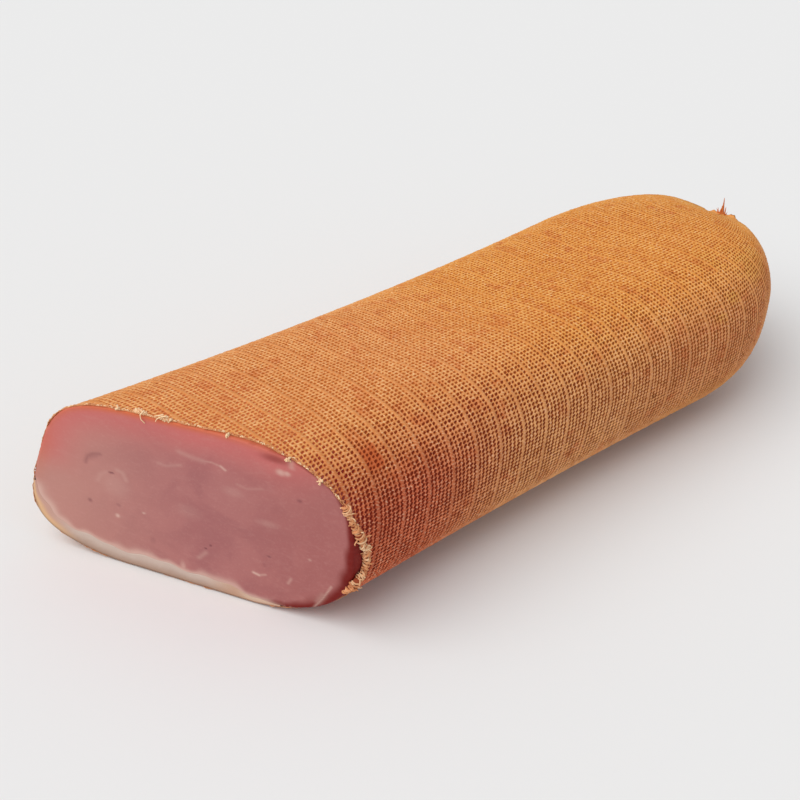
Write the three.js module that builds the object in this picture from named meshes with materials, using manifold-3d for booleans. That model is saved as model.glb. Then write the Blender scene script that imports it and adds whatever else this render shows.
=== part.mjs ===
// Lightly smoked pork loin in a close woven net, cut across at its near end.
// Millimetres, +Z up. The loin lies along Y, with its cut face towards -Y and the net gathered shut at +Y.
// Every place is first worked out from the loin's own start, and the whole is centred at the end.

import * as THREE from 'three';
import Module from 'manifold-3d';

const wasm = await Module();
wasm.setup();

// Cross-section over the net, as four quarters of a rounded box with unlike corners.
const section = {
  halfWidth: 50.6,
  height: 63.9,
  pressedFlat: 0.8,
  widestLevel: 0.52,
  upperRight: 2.66,
  upperLeft: 4.8,
  lowerLeft: 3.35,
  lowerRight: 2.73,
  leftLean: 0.167,
  rightLean: 0.008,
  topRise: 0.123,
};

// The section grows with the square of the distance from its waist.
const flare = { reach: 330, across: 0.383, acrossWaist: 40, upward: 0.2, upwardWaist: 178 };

// The knife went through at a slant, on the plane y = start + perX x + perZ z.
const cut = { start: -41, perX: 0.47, perZ: -0.114 };

// The far end closes on the gather, which lies high and a little to the left.
const farEnd = { tip: 263.3, dome: 75, roundness: 2.3, gatherX: -8.1, gatherZ: 52 };
const shoulder = farEnd.tip - farEnd.dome;

// The net, which stands back from the cut, most of all at the right, where its edge is rolled and frayed.
const net = { thickness: 0.9, gap: 0.3, setBack: 0.8, pulledBack: 5.4, rollWidth: 5, rollHeight: 1.9, fray: 0.5 };

// Fat cap along the lower left of the loin, thickest under the left, gone before the lower right.
const fat = { from: 0.5, to: 0.86, fullest: 0.62, thickness: 6.2, clear: 0.3, reach: 1.5, outside: 5, ahead: -0.03 };

// Gathered end of the net: a short ruffle with one tuft of cut threads at its left.
const ruffle = {
  halfLength: 8.5,
  halfThickness: 3.2,
  pinch: 0.72,
  length: 4.2,
  tilt: -0.22,
  shiftX: 7,
  folds: 7,
  foldDepth: 0.16,
  tuftHeight: 6.5,
  tuftReach: 1.6,
};
const pleats = { count: 8, depth: 0.05, dip: 0.07, dipAround: 0.18, dipAlong: 1.68 };

const aroundSteps = 48;
const bodySteps = 8;
const domeSteps = 8;
const domeEnd = 1.9;

const netMaterial = new THREE.MeshStandardMaterial({ color: 0xc58a55, roughness: 0.9, metalness: 0 });
const leanMaterial = new THREE.MeshStandardMaterial({ color: 0xb26f6b, roughness: 0.5, metalness: 0 });
const fatMaterial = new THREE.MeshStandardMaterial({ color: 0xd8c3b0, roughness: 0.45, metalness: 0 });

function mix(a, b, share) {
  return a + (b - a) * share;
}

function bump(x, centre, width) {
  return Math.exp(-(((x - centre) / width) ** 2));
}

function signedPower(value, power) {
  return Math.sign(value) * Math.abs(value) ** power;
}

// One corner-rounded point of the section at a turn from +X towards +Z.
function sectionAtTurn(turn) {
  const c = Math.cos(turn);
  const s = Math.sin(turn);
  const upper = c >= 0 ? section.upperRight : section.upperLeft;
  const lower = c >= 0 ? section.lowerRight : section.lowerLeft;
  const squareness = s >= 0 ? upper : lower;
  const whole = section.height + section.pressedFlat;
  const below = whole * section.widestLevel;
  const level = signedPower(s, 2 / squareness);
  const lean = c < 0 ? section.leftLean : section.rightLean;
  const x = section.halfWidth * signedPower(c, 2 / squareness) * (1 - lean * level);
  const rise = 1 + (section.topRise * x) / section.halfWidth;
  const z = level >= 0 ? level * (whole - below) * rise : level * below;
  return new THREE.Vector2(x, Math.max(z + below - section.pressedFlat, 0));
}

// The section's outline in equal steps of length, so that a share of the way round finds its point.
const outline = (() => {
  const count = 1440;
  const points = [];
  const lengths = [0];
  for (let i = 0; i <= count; i += 1) {
    points.push(sectionAtTurn((2 * Math.PI * i) / count));
    if (i > 0) lengths.push(lengths[i - 1] + points[i].distanceTo(points[i - 1]));
  }
  return { points, lengths };
})();

function sectionPoint(around) {
  const { points, lengths } = outline;
  const target = (around - Math.floor(around)) * lengths[lengths.length - 1];
  let low = 0;
  let high = lengths.length - 1;
  while (high - low > 1) {
    const middle = (low + high) >> 1;
    if (lengths[middle] <= target) low = middle;
    else high = middle;
  }
  const share = (target - lengths[low]) / (lengths[high] - lengths[low]);
  return points[low].clone().lerp(points[high], share);
}

function flareAt(y) {
  const across = 1 + flare.across * ((y - flare.acrossWaist) / flare.reach) ** 2;
  const upward = 1 + flare.upward * ((y - flare.upwardWaist) / flare.reach) ** 2;
  return { across, upward };
}

function cutAt(x, z) {
  return cut.start + cut.perX * x + cut.perZ * z;
}

// Where the cut meets the line of the skin that starts from this point of the section.
function cutStation(flat) {
  let y = cut.start;
  for (let round = 0; round < 6; round += 1) {
    const grown = flareAt(y);
    y = cutAt(flat.x * grown.across, flat.y * grown.upward);
  }
  return y;
}

// Outer face of the net: along runs 0 to 1 from the cut to the shoulder and 1 to 2 over the dome.
function skin(around, along) {
  const flat = sectionPoint(around);
  if (along <= 1) {
    const y = mix(cutStation(flat), shoulder, along);
    const grown = flareAt(y);
    return new THREE.Vector3(flat.x * grown.across, y, flat.y * grown.upward);
  }
  const reach = Math.sin(((along - 1) * Math.PI) / 2);
  const round = Math.max(1 - reach ** farEnd.roundness, 0) ** (1 / farEnd.roundness);
  const nearGather = bump(along, 2, 0.3);
  const folds = pleats.depth * nearGather * Math.cos(2 * Math.PI * pleats.count * around);
  const dip = pleats.dip * bump(around, pleats.dipAround, 0.07) * bump(along, pleats.dipAlong, 0.17);
  const share = round * (1 + folds - dip);
  const grown = flareAt(shoulder);
  const x = mix(farEnd.gatherX, flat.x * grown.across, share);
  const z = mix(farEnd.gatherZ, flat.y * grown.upward, share);
  return new THREE.Vector3(x, shoulder + farEnd.dome * reach, Math.max(z, 0));
}

function skinNormal(around, along) {
  const sideways = skin(around + 0.004, along).sub(skin(around - 0.004, along));
  const forward = skin(around, along + 0.01).sub(skin(around, along - 0.01));
  return sideways.cross(forward).normalize().negate();
}

// A point under the skin by depth, or over it where depth is below zero.
function under(around, along, depth) {
  const normal = skinNormal(around, along);
  const point = skin(around, along).addScaledVector(normal, -depth);
  point.z = Math.max(point.z, 0);
  return point;
}

function ring(place) {
  return Array.from({ length: aroundSteps }, (unused, i) => place(i / aroundSteps));
}

// Faces between each ring and the next, where the points are numbered ring after ring from start.
function wallFaces(ringCount, pointCount, start) {
  const faces = [];
  const at = (row, column) => start + row * pointCount + (column % pointCount);
  for (let column = 0; column < pointCount; column += 1) {
    for (let row = 0; row + 1 < ringCount; row += 1) {
      faces.push([at(row, column), at(row + 1, column), at(row + 1, column + 1)]);
      faces.push([at(row, column), at(row + 1, column + 1), at(row, column + 1)]);
    }
  }
  return faces;
}

// Closed body over a run of rings, from a first point to a last one.
function closedLoft(first, rings, last) {
  const points = [first, ...rings.flat(), last];
  const count = rings[0].length;
  const faces = wallFaces(rings.length, count, 1);
  const lastRing = points.length - 1 - count;
  for (let column = 0; column < count; column += 1) {
    const next = (column + 1) % count;
    faces.push([0, 1 + column, 1 + next]);
    faces.push([points.length - 1, lastRing + next, lastRing + column]);
  }
  return outwardGeometry(points, faces);
}

// Closed slab over a run of loops, each of which goes out along one face and back along the other.
function closedSlab(loops) {
  const points = loops.flat();
  const count = loops[0].length;
  const faces = wallFaces(loops.length, count, 0);
  const lastLoop = points.length - count;
  for (let column = 0; column + 1 < count / 2; column += 1) {
    const back = count - 1 - column;
    faces.push([column, column + 1, back - 1], [column, back - 1, back]);
    faces.push([lastLoop + column, lastLoop + back - 1, lastLoop + column + 1]);
    faces.push([lastLoop + column, lastLoop + back, lastLoop + back - 1]);
  }
  return outwardGeometry(points, faces);
}

function outwardGeometry(points, faces) {
  let volume = 0;
  for (const [a, b, c] of faces) volume += points[a].dot(points[b].clone().cross(points[c]));
  const outward = volume > 0 ? faces : faces.map(([a, b, c]) => [a, c, b]);
  const geometry = new THREE.BufferGeometry();
  geometry.setAttribute('position', new THREE.Float32BufferAttribute(points.flatMap((p) => [p.x, p.y, p.z]), 3));
  geometry.setIndex(outward.flat());
  return geometry;
}

function toManifold(geometry) {
  return new wasm.Manifold(
    new wasm.Mesh({
      numProp: 3,
      vertProperties: new Float32Array(geometry.getAttribute('position').array),
      triVerts: new Uint32Array(geometry.getIndex().array),
    }),
  );
}

function toGeometry(manifold) {
  const { vertProperties, triVerts } = manifold.getMesh();
  const geometry = new THREE.BufferGeometry();
  geometry.setAttribute('position', new THREE.Float32BufferAttribute(vertProperties, 3));
  geometry.setIndex(Array.from(triVerts));
  return geometry;
}

const bodyStops = Array.from({ length: bodySteps }, (unused, i) => (i + 1) / bodySteps);
const domeStops = Array.from({ length: domeSteps }, (unused, i) => mix(1, domeEnd, (i + 1) / domeSteps));

// How far the edge of the net stands back from the cut, as a share of the way to the shoulder.
function netEdge(around) {
  const rightSide = bump(around, 0.97, 0.1) + bump(around, -0.03, 0.1);
  const distance = net.setBack + net.pulledBack * Math.min(rightSide, 1);
  return distance / (shoulder - skin(around, 0).y);
}

function rolledEdge(around) {
  const rightSide = Math.min(bump(around, 0.97, 0.13) + bump(around, -0.03, 0.13), 1);
  const frays = net.fray * (Math.sin(2 * Math.PI * 11 * around) + Math.sin(2 * Math.PI * 17 * around));
  return net.rollHeight * rightSide + frays * mix(0.25, 0.7, rightSide);
}

// Net casing: its outer face, the rolled edge, the gathered end and the inner face in one closed body.
function netCasing() {
  const overlay = (around, step, depth) => {
    const edge = netEdge(around);
    const width = (net.rollWidth * step) / (shoulder - skin(around, 0).y);
    return under(around, edge + width, depth);
  };
  const past = (around, stop) => (stop <= 1 ? mix(netEdge(around) + 0.03, 1, stop) : stop);
  const outerStops = [...bodyStops, ...domeStops];
  const inner = outerStops.map((stop) => ring((around) => under(around, past(around, stop), net.thickness)));
  const edge = [
    ring((around) => overlay(around, 0, net.thickness)),
    ring((around) => overlay(around, 0, -0.3 * rolledEdge(around))),
    ring((around) => overlay(around, 0.5, -rolledEdge(around))),
    ring((around) => overlay(around, 1.2, 0)),
  ];
  const outer = outerStops.map((stop) => ring((around) => under(around, past(around, stop), 0)));
  const innerTip = new THREE.Vector3(farEnd.gatherX, farEnd.tip - net.thickness, farEnd.gatherZ);
  const outerTip = ruffleCentre(0.9);
  return closedLoft(innerTip, [...inner.reverse(), ...edge, ...outer, ...ruffleRings()], outerTip);
}

function ruffleCentre(share) {
  const x = farEnd.gatherX + ruffle.shiftX * share;
  return new THREE.Vector3(x, farEnd.tip + ruffle.length * share, farEnd.gatherZ + ruffle.tilt * ruffle.shiftX * share);
}

function ruffleRings() {
  return [0.15, 0.6, 1].map((share) => ring((around) => {
    const turn = 2 * Math.PI * around;
    const spread = mix(ruffle.pinch, 1, share);
    const fold = 1 + ruffle.foldDepth * share * Math.cos(ruffle.folds * turn);
    const sideways = ruffle.halfLength * spread * fold * Math.cos(turn);
    const upward = ruffle.halfThickness * spread * fold * Math.sin(turn);
    const tuft = share * bump(around, 0.5, 0.055);
    const point = ruffleCentre(share);
    point.x += sideways;
    point.y += ruffle.tuftReach * tuft;
    point.z += upward + ruffle.tilt * sideways + ruffle.tuftHeight * tuft;
    return point;
  }));
}

// Everything inside the net: it swells a little where it comes out of the net at the cut.
function insideLoin() {
  const depth = net.thickness + net.gap;
  const free = (around, share, out) => {
    const along = netEdge(around) * share;
    return under(around, along, depth - out);
  };
  const face = ring((around) => {
    const point = free(around, 0, 0.7);
    point.y = cutAt(point.x, point.z);
    return point;
  });
  const centre = new THREE.Vector3(0, 0, section.height / 2);
  centre.y = cutAt(centre.x, centre.z);
  const halfWay = face.map((point) => point.clone().lerp(centre, 0.5));
  const rings = [
    halfWay,
    face,
    ring((around) => free(around, 0.45, 0.45)),
    ring((around) => free(around, 1, 0)),
    ...bodyStops.map((stop) => ring((around) => under(around, mix(netEdge(around) + 0.03, 1, stop), depth))),
    ...domeStops.map((stop) => ring((around) => under(around, stop, depth))),
  ];
  const tip = new THREE.Vector3(farEnd.gatherX, farEnd.tip - depth, farEnd.gatherZ);
  return closedLoft(centre, rings, tip);
}

function fatDepth(around, along) {
  const side = around < fat.fullest ? fat.fullest - fat.from : fat.to - fat.fullest;
  const swell = 1 - (Math.abs(around - fat.fullest) / side) ** 2.2;
  const fade = 1 - Math.max(0, (along - 0.8) / (fat.reach - 0.8)) ** 2;
  return Math.max(fat.thickness * Math.min(swell, fade) - 0.6, 0.6 - fat.outside);
}

// Slab that reaches from outside the net down to the underside of the fat, deeper by extra.
function fatSlab(extra) {
  const aroundCount = 16;
  const margin = 0.012;
  const stops = [fat.ahead, 0.12, 0.3, 0.5, 0.7, 0.9, 1.1, 1.25, 1.4, fat.reach, fat.reach + 0.15];
  const shares = Array.from({ length: aroundCount + 1 }, (unused, i) => i / aroundCount);
  const loops = stops.map((along) => {
    const at = (share) => mix(fat.from - margin, fat.to + margin, share);
    const depth = (share) => net.thickness + net.gap + fatDepth(at(share), along) + extra;
    const below = shares.map((share) => slabPoint(at(share), along, depth(share)));
    const above = shares.map((share) => slabPoint(at(share), along, -fat.outside)).reverse();
    return [...below, ...above];
  });
  return closedSlab(loops);
}

function slabPoint(around, along, depth) {
  return skin(around, along).addScaledVector(skinNormal(around, along), -depth);
}

function named(name, geometry, material) {
  const mesh = new THREE.Mesh(geometry, material);
  mesh.name = name;
  return mesh;
}

const inside = toManifold(insideLoin());
const lean = inside.subtract(toManifold(fatSlab(fat.clear)));
const fatCap = inside.intersect(toManifold(fatSlab(0)));

const porkLoin = new THREE.Group();
porkLoin.add(named('lean_meat', toGeometry(lean), leanMaterial));
porkLoin.add(named('fat_cap', toGeometry(fatCap), fatMaterial));
porkLoin.add(named('net_casing', netCasing(), netMaterial));

const box = new THREE.Box3().setFromObject(porkLoin);
const middle = box.getCenter(new THREE.Vector3());
for (const piece of porkLoin.children) piece.geometry.translate(-middle.x, -middle.y, -box.min.z);

export default porkLoin;
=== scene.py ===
import math

import bpy
import numpy as np
from mathutils import Matrix, Vector


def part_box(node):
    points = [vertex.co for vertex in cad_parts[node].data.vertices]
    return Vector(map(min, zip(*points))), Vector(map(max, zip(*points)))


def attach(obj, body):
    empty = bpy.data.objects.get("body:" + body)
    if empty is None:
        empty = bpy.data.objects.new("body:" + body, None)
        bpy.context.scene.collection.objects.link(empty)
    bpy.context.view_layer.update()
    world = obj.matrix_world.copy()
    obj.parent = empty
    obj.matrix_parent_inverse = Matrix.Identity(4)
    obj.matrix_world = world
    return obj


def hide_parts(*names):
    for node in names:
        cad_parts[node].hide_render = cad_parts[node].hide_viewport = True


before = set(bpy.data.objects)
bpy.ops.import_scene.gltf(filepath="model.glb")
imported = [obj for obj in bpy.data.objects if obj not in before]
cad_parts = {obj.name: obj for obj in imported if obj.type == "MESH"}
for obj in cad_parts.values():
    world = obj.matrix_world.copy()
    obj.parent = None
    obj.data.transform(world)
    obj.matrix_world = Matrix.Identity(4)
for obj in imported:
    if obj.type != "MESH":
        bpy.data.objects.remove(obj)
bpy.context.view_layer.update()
print("frame loaded")

# Shapes are worked out in millimetres and become metres where a mesh is made.
mm = 0.001


# Camera
camera = dict(
    lens=75.9,          # on a sensor 36 mm wide
    distance=698.2,
    elevation=33.0,     # degrees above the table
    turned=50.4,        # degrees from the loin's own length
    roll=7.5,
    aim=(-39.7, 3.7, -2.9),
)


def makeCamera():
    up = math.radians(camera["elevation"])
    turned = math.radians(camera["turned"])
    ahead = Vector((-math.cos(turned), math.sin(turned), 0))
    level = Vector((math.sin(turned), math.cos(turned), 0))
    forward = ahead * math.cos(up) - Vector((0, 0, 1)) * math.sin(up)
    upright = ahead * math.sin(up) + Vector((0, 0, 1)) * math.cos(up)
    roll = math.radians(camera["roll"])
    right = level * math.cos(roll) + upright * math.sin(roll)
    top = upright * math.cos(roll) - level * math.sin(roll)
    data = bpy.data.cameras.new("camera")
    data.lens = camera["lens"]
    data.clip_start = 0.01
    data.clip_end = 30
    eye = bpy.data.objects.new("camera", data)
    bpy.context.scene.collection.objects.link(eye)
    eye.matrix_world = Matrix((right, top, -forward)).transposed().to_4x4()
    eye.location = (Vector(camera["aim"]) - forward * camera["distance"]) * mm
    bpy.context.scene.camera = eye


makeCamera()
print("camera placed")


# Form of the loin, the same as that of the solids
loin = dict(
    halfWidth=50.6,
    height=63.9,
    pressedFlat=0.8,
    widestLevel=0.52,
    upperRight=2.66,
    upperLeft=4.8,
    lowerLeft=3.35,
    lowerRight=2.73,
    leftLean=0.167,
    rightLean=0.008,
    topRise=0.123,
    flareReach=330,
    flareAcross=0.383,
    waistAcross=40,
    flareUpward=0.2,
    waistUpward=178,
    cutStart=-41,
    cutPerX=0.47,
    cutPerZ=-0.114,
    tip=263.3,
    dome=75,
    roundness=2.3,
    gatherX=-8.1,
    gatherZ=52,
    pleatCount=8,
    pleatDepth=0.05,
    pleatLength=0.3,
    dip=0.07,
    dipAround=(0.18, 0.07),        # place and width of the hollow, round and along the loin
    dipAlong=(1.68, 0.17),
    sink=3.9,
    sinkAround=(0.265, 0.1),
    sinkAlong=(1.83, 0.19),
    domeRadius=45,
    rimDepth=0.5,          # under the skin, where the cut starts in the frame
    placeAcross=1.35,      # of the loin's own middle in the frame
)
shoulder = loin["tip"] - loin["dome"]


def bell(x, centre, width):
    return np.exp(-(((x - centre) / width) ** 2))


def roundBell(around, centre, width):      # a bell that closes on itself round the loin
    apart = (around - centre + 0.5) % 1 - 0.5
    return np.exp(-((apart / width) ** 2))


def mix(a, b, share):
    return a + (b - a) * share


def ease(x, start, end):
    t = np.clip((x - start) / (end - start), 0, 1)
    return t * t * (3 - 2 * t)


def signedPower(value, power):
    return np.sign(value) * np.abs(value) ** power


def sectionOutline(count=2880):
    turn = np.linspace(0, 2 * np.pi, count + 1)
    c = np.cos(turn)
    s = np.sin(turn)
    upper = np.where(c >= 0, loin["upperRight"], loin["upperLeft"])
    lower = np.where(c >= 0, loin["lowerRight"], loin["lowerLeft"])
    squareness = np.where(s >= 0, upper, lower)
    whole = loin["height"] + loin["pressedFlat"]
    below = whole * loin["widestLevel"]
    level = signedPower(s, 2 / squareness)
    lean = np.where(c < 0, loin["leftLean"], loin["rightLean"])
    x = loin["halfWidth"] * signedPower(c, 2 / squareness) * (1 - lean * level)
    rise = 1 + loin["topRise"] * x / loin["halfWidth"]
    z = np.where(level >= 0, level * (whole - below) * rise, level * below)
    z = np.maximum(z + below - loin["pressedFlat"], 0)
    steps = np.hypot(np.diff(x), np.diff(z))
    length = np.concatenate([[0], np.cumsum(steps)])
    return length / length[-1], x, z, length[-1]


outlineShare, outlineX, outlineZ, girth = sectionOutline()


def sectionPoint(around):
    share = around % 1
    return np.interp(share, outlineShare, outlineX), np.interp(share, outlineShare, outlineZ)


def flareAt(y):
    across = 1 + loin["flareAcross"] * ((y - loin["waistAcross"]) / loin["flareReach"]) ** 2
    upward = 1 + loin["flareUpward"] * ((y - loin["waistUpward"]) / loin["flareReach"]) ** 2
    return across, upward


def cutAt(x, z):
    return loin["cutStart"] + loin["cutPerX"] * x + loin["cutPerZ"] * z


def cutStation(around):
    x, z = sectionPoint(around)
    y = np.full_like(x, loin["cutStart"])
    for _ in range(6):
        across, upward = flareAt(y)
        y = cutAt(x * across, z * upward)
    return y


# A point of the skin; along runs from 0 to 1 between cut and shoulder, and to 2 over the dome.
def skin(around, along):
    x, z = sectionPoint(around)
    start = cutStation(around)
    y = start + (shoulder - start) * np.minimum(along, 1)
    across, upward = flareAt(y)
    turn = np.clip(along - 1, 0, 1) * np.pi / 2
    reach = np.sin(turn)
    roundness = loin["roundness"]
    closing = np.maximum(1 - reach**roundness, 0) ** (1 / roundness)
    folds = np.cos(2 * np.pi * loin["pleatCount"] * around) * bell(along, 2, loin["pleatLength"])
    dip = loin["dip"] * bell(around % 1, *loin["dipAround"]) * bell(along, *loin["dipAlong"])
    share = np.where(along > 1, closing * (1 + loin["pleatDepth"] * folds - dip), 1)
    px = mix(loin["gatherX"], x * across, share)
    pz = mix(loin["gatherZ"], z * upward, share)
    sunk = loin["sink"] * bell(around % 1, *loin["sinkAround"]) * bell(along, *loin["sinkAlong"])
    return np.stack([px, y + loin["dome"] * reach, np.maximum(pz - sunk, 0)], -1)


def skinNormal(around, along):
    sideways = skin(around + 0.004, along) - skin(around - 0.004, along)
    forward = skin(around, along + 0.01) - skin(around, along - 0.01)
    normal = -np.cross(sideways, forward)
    return normal / np.maximum(np.linalg.norm(normal, axis=-1, keepdims=True), 1e-9)


def under(around, along, depth):
    return skin(around, along) - skinNormal(around, along) * np.asarray(depth)[..., None]


def behindCut(points, gap):                 # no point of a side stands before the cut
    points[:, 1] = np.maximum(points[:, 1], cutAt(points[:, 0], points[:, 2]) + gap)
    return points


# Distance along the skin over the dome, so that the weave keeps its pitch there.
domeTurns = np.linspace(0, 1, 200)
domeReach = np.sin(domeTurns * np.pi / 2)
domeClosing = np.maximum(1 - domeReach ** loin["roundness"], 0) ** (1 / loin["roundness"])
domeSteps = np.hypot(loin["dome"] * np.diff(domeReach), loin["domeRadius"] * np.diff(domeClosing))
domeLength = np.concatenate([[0], np.cumsum(domeSteps)])


# A station is in millimetres from the loin's own start, over the dome too.
def alongAt(around, station):
    start = cutStation(around)
    flat = (station - start) / (shoulder - start)
    over = 1 + np.interp(station - shoulder, domeLength, domeTurns)
    return np.where(station <= shoulder, flat, over)


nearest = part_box("lean_meat")[0].y / mm
rim = np.linspace(0, 1, 1440)
rimPoints = under(rim, np.zeros_like(rim), np.full_like(rim, loin["rimDepth"]))
rimNearest = cutAt(rimPoints[:, 0], rimPoints[:, 2]).min()
shift = np.array([loin["placeAcross"], nearest - rimNearest, 0.0])
print("loin's place in the frame:", np.round(shift, 2))


# Makes one piece from points in millimetres, faces, maps and the numbers its points carry
def makePiece(name, points, faces, maps, values, material, slot, *nodes):
    points = (np.asarray(points, float).reshape(-1, 3) + shift) * mm
    points[:, 2] = np.maximum(points[:, 2], 0)
    mesh = bpy.data.meshes.new(name)
    sizes = np.concatenate([np.full(len(f), f.shape[1]) for f in faces])
    corners = np.concatenate([f.ravel() for f in faces])
    mesh.vertices.add(len(points))
    mesh.vertices.foreach_set("co", points.astype(np.float32).ravel())
    mesh.loops.add(len(corners))
    mesh.loops.foreach_set("vertex_index", corners.astype(np.int32))
    mesh.polygons.add(len(sizes))
    starts = np.concatenate([[0], np.cumsum(sizes)[:-1]])
    mesh.polygons.foreach_set("loop_start", starts.astype(np.int32))
    mesh.update(calc_edges=True)
    for mapName, corners in maps.items():
        layer = mesh.uv_layers.new(name=mapName)
        layer.data.foreach_set("uv", np.concatenate(corners).astype(np.float32).ravel())
    for valueName, numbers in values.items():
        layer = mesh.attributes.new(valueName, "FLOAT", "POINT")
        layer.data.foreach_set("value", numbers.astype(np.float32).ravel())
    mesh.validate()
    mesh.shade_smooth()
    made = bpy.data.objects.new(name, mesh)
    bpy.context.scene.collection.objects.link(made)
    made.data.materials.append(material)
    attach(made, "root")
    if nodes:
        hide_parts(*nodes)
    print(name, len(sizes), "faces")
    return made


def gridFaces(rows, columns, start=0, closed=False):    # quads between the points of a grid
    cells = columns if closed else columns - 1
    row, column = np.meshgrid(np.arange(rows - 1), np.arange(cells), indexing="ij")
    nextColumn = (column + 1) % columns
    corners = [row * columns + column, row * columns + nextColumn]
    corners += [(row + 1) * columns + nextColumn, (row + 1) * columns + column]
    return np.stack(corners, -1).reshape(-1, 4) + start


def gridCorners(rows, columns):             # the same quads' places in the grid, for maps
    row, column = np.meshgrid(np.arange(rows - 1), np.arange(columns - 1), indexing="ij")
    rowsAt = np.stack([row, row, row + 1, row + 1], -1)
    columnsAt = np.stack([column, column + 1, column + 1, column], -1)
    return rowsAt.reshape(-1, 4), columnsAt.reshape(-1, 4)


def inMap(share):                           # leaves a margin at both ends of a map
    return 0.01 + 0.98 * share


def stopsAlong(sideCount, domeCount, end):  # rows from just behind the cut to an end on the dome
    return np.concatenate([np.linspace(0.004, 1, sideCount), np.linspace(1, end, domeCount)[1:]])


# Shader maths
class Wire:                                 # an output socket that Python's operators work on
    def __init__(self, finish, socket):
        self.finish = finish
        self.socket = socket

    def maths(self, operation, *values):
        return self.finish.node("ShaderNodeMath", {"operation": operation}, dict(enumerate(values)))

    def __add__(self, other):
        return self.maths("ADD", self, other)

    def __radd__(self, other):
        return self.maths("ADD", other, self)

    def __sub__(self, other):
        return self.maths("SUBTRACT", self, other)

    def __rsub__(self, other):
        return self.maths("SUBTRACT", other, self)

    def __mul__(self, other):
        return self.maths("MULTIPLY", self, other)

    def __rmul__(self, other):
        return self.maths("MULTIPLY", other, self)

    def __truediv__(self, other):
        return self.maths("DIVIDE", self, other)

    def __pow__(self, other):
        return self.maths("POWER", self, other)

    def size(self):
        return self.maths("ABSOLUTE", self)

    def floored(self):
        return self.maths("FLOOR", self)

    def larger(self, other):
        return self.maths("MAXIMUM", self, other)

    def above(self, start, end):            # 0 up to start, 1 from end, smooth between
        settings = {"interpolation_type": "SMOOTHSTEP"}
        low, high = (0, 1) if start < end else (1, 0)
        sockets = {"Value": self, "From Min": min(start, end), "From Max": max(start, end)}
        sockets.update({"To Min": low, "To Max": high})
        return self.finish.node("ShaderNodeMapRange", settings, sockets)


class Finish:                               # the nodes of one material
    def __init__(self, name):
        self.material = bpy.data.materials.new(name)
        self.material.use_nodes = True
        self.tree = self.material.node_tree
        self.tree.nodes.clear()

    def node(self, kind, settings=None, sockets=None, output=0):
        made = self.tree.nodes.new(kind)
        for key, value in (settings or {}).items():
            if key == "stops":
                self.setStops(made.color_ramp, value)
            else:
                setattr(made, key, value)
        for key, value in (sockets or {}).items():
            if isinstance(value, Wire):
                self.tree.links.new(value.socket, made.inputs[key])
            else:
                made.inputs[key].default_value = value
        return Wire(self, made.outputs[output]) if len(made.outputs) else None

    def setStops(self, ramp, stops):
        while len(ramp.elements) < len(stops):
            ramp.elements.new(0.5)
        for element, (place, colour) in zip(ramp.elements, stops):
            element.position = place
            element.color = colour

    def blend(self, share, a, b, how="MIX"):
        settings = {"data_type": "RGBA", "blend_type": how, "clamp_result": False}
        return self.node("ShaderNodeMix", settings, {0: share, 6: a, 7: b}, output=2)

    def noise(self, place, scale, detail=2.0, roughness=0.5, distortion=0.0):
        sockets = {"Vector": place, "Scale": scale, "Detail": detail}
        sockets.update({"Roughness": roughness, "Distortion": distortion})
        return self.node("ShaderNodeTexNoise", None, sockets)

    def shape(self, x=None, y=None, z=None):
        given = {"X": x, "Y": y, "Z": z}
        return self.node("ShaderNodeCombineXYZ", None, {k: v for k, v in given.items() if v is not None})

    def parts(self, vector):
        first = self.node("ShaderNodeSeparateXYZ", None, {0: vector})
        node = first.socket.node
        return [Wire(self, node.outputs[i]) for i in range(3)]

    def stretched(self, vector, scale):
        return self.node("ShaderNodeVectorMath", {"operation": "MULTIPLY"}, {0: vector, 1: scale})

    def millimetres(self):                  # places on the piece, in millimetres
        place = self.node("ShaderNodeTexCoord", output=3)
        return self.stretched(place, (1 / mm, 1 / mm, 1 / mm))

    def given(self, name):                  # a number that each point of the mesh carries
        return self.node("ShaderNodeAttribute", {"attribute_name": name}, output=2)

    def surface(self, varying, constant, bump=None):
        if bump:
            height, strength, distance = bump
            sockets = {"Height": height, "Strength": strength, "Distance": distance}
            varying = dict(varying, Normal=self.node("ShaderNodeBump", None, sockets))
        shader = self.node("ShaderNodeBsdfPrincipled", None, dict(varying, **constant))
        self.node("ShaderNodeOutputMaterial", None, {"Surface": shader})
        return self.material


def tone(red, green, blue):                 # a colour as seen on screen, 0 to 255, made linear
    def straight(value):
        value /= 255
        return value / 12.92 if value <= 0.04045 else ((value + 0.055) / 1.055) ** 2.4
    return (straight(red), straight(green), straight(blue), 1.0)


# Edge of the net at the cut: how far back it stands, in millimetres
netEdge = dict(
    setBack=0.35,
    pulledBack=6.4,        # at the right, under the rolled fringe
    pulledCentre=-0.035,
    pulledWidth=0.062,
    strip=1.9,             # bare strip at the upper right
    stripCentre=0.185,
    stripWidth=0.042,
    wander=0.25,
)


def netEdgeStation(around):
    back = netEdge["setBack"]
    back = back + netEdge["pulledBack"] * roundBell(around, netEdge["pulledCentre"], netEdge["pulledWidth"])
    back = back + netEdge["strip"] * roundBell(around, netEdge["stripCentre"], netEdge["stripWidth"])
    for turns, phase in ((9, 0.4), (23, 1.7), (41, 2.9)):
        back = back + netEdge["wander"] * np.sin(2 * np.pi * turns * around + phase) / math.sqrt(turns / 9)
    return cutStation(around) + back


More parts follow.
